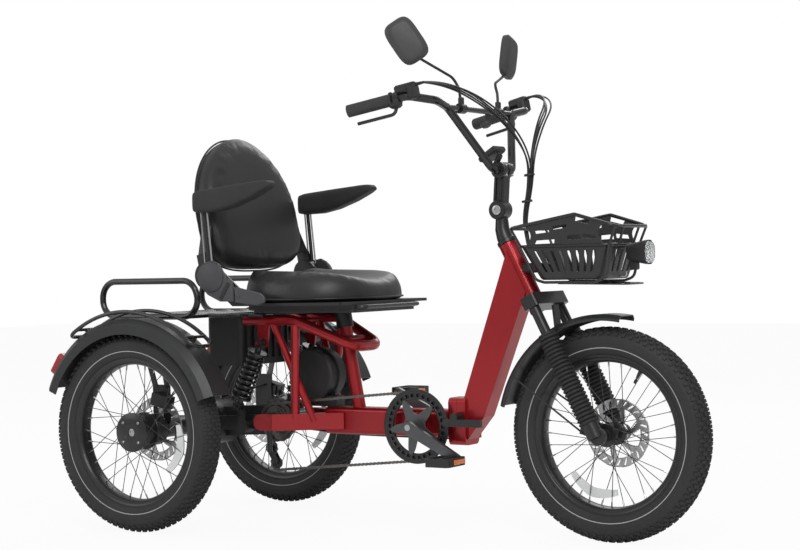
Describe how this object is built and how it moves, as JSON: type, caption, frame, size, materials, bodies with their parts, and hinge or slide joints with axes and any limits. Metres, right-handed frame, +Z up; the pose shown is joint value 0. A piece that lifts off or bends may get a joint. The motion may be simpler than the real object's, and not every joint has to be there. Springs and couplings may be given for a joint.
{
  "type": "folding electric tricycle",
  "caption": "Folding step-through electric tricycle with seat, backrest and armrests, front basket, rear rack, sprung fork and coil-over rear shocks.",
  "frame": {"origin": "on the ground under the middle of the tricycle's length, on its middle plane", "axes": "+X forward, +Y to the rider's left, +Z up"},
  "size_m": [1.8714, 0.812, 1.375],
  "materials": {
    "frame_red": "metallic satin",
    "black_paint": "satin",
    "dark_alloy": "satin",
    "steel": "brushed",
    "chrome": "polished",
    "tyre": "matt",
    "rubber": "matt",
    "black_plastic": "matt",
    "grey_plastic": "matt",
    "vinyl": "soft grain",
    "lamp_red": "clear gloss",
    "lamp_clear": "clear"
  },
  "bodies": {
    "chassis": {"battery_box": "black_plastic", "cargo_rack": "black_paint", "cassette": "steel", "chain": "steel", "controller_case": "black_plastic", "derailleur": "black_paint", "fender_guards": "black_paint", "main_frame": "frame_red", "rear_brakes": "black_paint", "rear_fenders": "black_plastic", "seat_base": "black_paint", "seat_cushion": "vinyl", "seat_rails": "black_paint", "shock_dampers": "black_paint", "shock_springs": "black_paint", "swing_arm": "black_paint", "tail_lamps": "lamp_red"},
    "wheel_rear_right": {"tyre_rear_right": "tyre", "rim_rear_right": "black_paint", "hub_rear_right": "black_paint", "brake_disc_rear_right": "steel"},
    "wheel_rear_left": {"tyre_rear_left": "tyre", "rim_rear_left": "black_paint", "hub_rear_left": "black_paint", "brake_disc_rear_left": "steel"},
    "wheel_front": {"tyre_front": "tyre", "rim_front": "black_paint", "hub_front": "black_paint", "brake_disc_front": "steel"},
    "crank": {"crankset": "dark_alloy", "chain_wheel": "black_plastic"},
    "pedal_right_body": {"pedal_right": "black_plastic"},
    "pedal_left_body": {"pedal_left": "black_plastic"},
    "backrest": {"backrest_pad": "vinyl", "recliner_arms": "grey_plastic", "armrest_posts": "chrome", "armrests": "black_plastic"},
    "front_section": {"front_frame": "frame_red", "hinge_lever": "black_paint", "basket": "black_paint", "headlamp": "lamp_clear"},
    "steering": {"fork": "black_paint", "fork_boots": "rubber", "front_fender": "black_plastic", "stem": "black_paint", "handlebar": "black_paint", "grips": "rubber", "brake_levers": "black_paint", "display": "black_plastic", "mirrors": "black_paint", "front_caliper": "black_paint"}
  },
  "joints": [
    {"name": "rear_wheel_right_spin", "type": "hinge", "parent": "chassis", "child": "wheel_rear_right", "pos_m": [-0.6343, -0.35, 0.28], "axis": [0, 1, 0], "continuous": true},
    {"name": "rear_wheel_left_spin", "type": "hinge", "parent": "chassis", "child": "wheel_rear_left", "pos_m": [-0.6343, 0.35, 0.28], "axis": [0, 1, 0], "continuous": true},
    {"name": "crank_spin", "type": "hinge", "parent": "chassis", "child": "crank", "pos_m": [0.0987, 0, 0.29], "axis": [0, 1, 0], "continuous": true},
    {"name": "pedal_right_spin", "type": "hinge", "parent": "crank", "child": "pedal_right_body", "pos_m": [0.2488, -0.144, 0.21019], "axis": [0, 1, 0], "continuous": true},
    {"name": "pedal_left_spin", "type": "hinge", "parent": "crank", "child": "pedal_left_body", "pos_m": [-0.0514, 0.144, 0.36981], "axis": [0, 1, 0], "continuous": true},
    {"name": "backrest_recline", "type": "hinge", "parent": "chassis", "child": "backrest", "pos_m": [-0.4633, 0, 0.712], "axis": [0, -1, 0], "range_deg": [0, 28]},
    {"name": "frame_fold", "type": "hinge", "parent": "chassis", "child": "front_section", "pos_m": [0.2157, 0.041, 0.296], "axis": [0, 0, 1], "range_deg": [0, 90]},
    {"name": "steer", "type": "hinge", "parent": "front_section", "child": "steering", "pos_m": [0.43925, 0, 0.63211], "axis": [-0.454, 0, 0.891], "range_deg": [-40, 40]},
    {"name": "front_wheel_spin", "type": "hinge", "parent": "steering", "child": "wheel_front", "pos_m": [0.6557, 0, 0.28], "axis": [0, 1, 0], "continuous": true}
  ]
}
